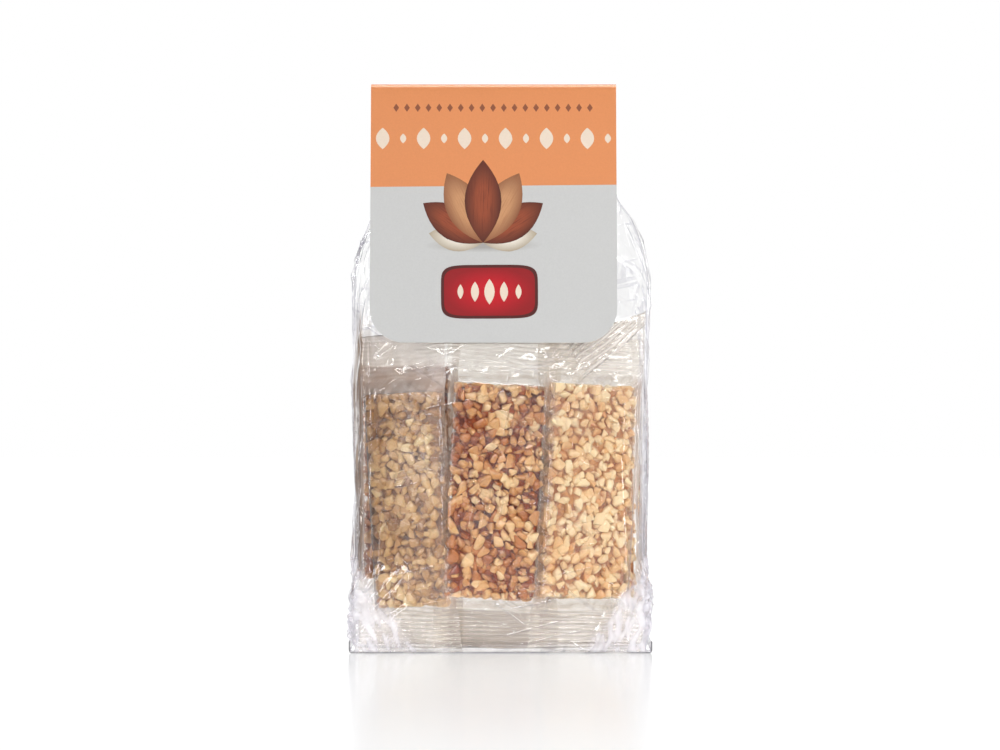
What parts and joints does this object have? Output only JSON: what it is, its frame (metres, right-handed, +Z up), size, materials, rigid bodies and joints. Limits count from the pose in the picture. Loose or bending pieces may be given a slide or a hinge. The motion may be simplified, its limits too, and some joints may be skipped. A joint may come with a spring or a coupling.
{
  "type": "bag of nut brittle bars",
  "caption": "Clear stand-up bag of film-wrapped chopped-almond brittle bars, closed by a folded card header printed in plain colour fields.",
  "frame": {"origin": "middle of the bag's flat base, on the surface that it stands on", "axes": "+Z up, -Y the front, where the card's printed panel is, +X to the right as seen from the front"},
  "size_m": [0.1204, 0.05, 0.2276],
  "materials": {
    "clear_film": "clear crinkled film over pale brittle",
    "printed_card": "satin printed card",
    "nut_brittle": "chopped almonds set in glossy caramel"
  },
  "bodies": {
    "root": {"bag": "clear_film", "header_card": "printed_card"}
  },
  "joints": []
}
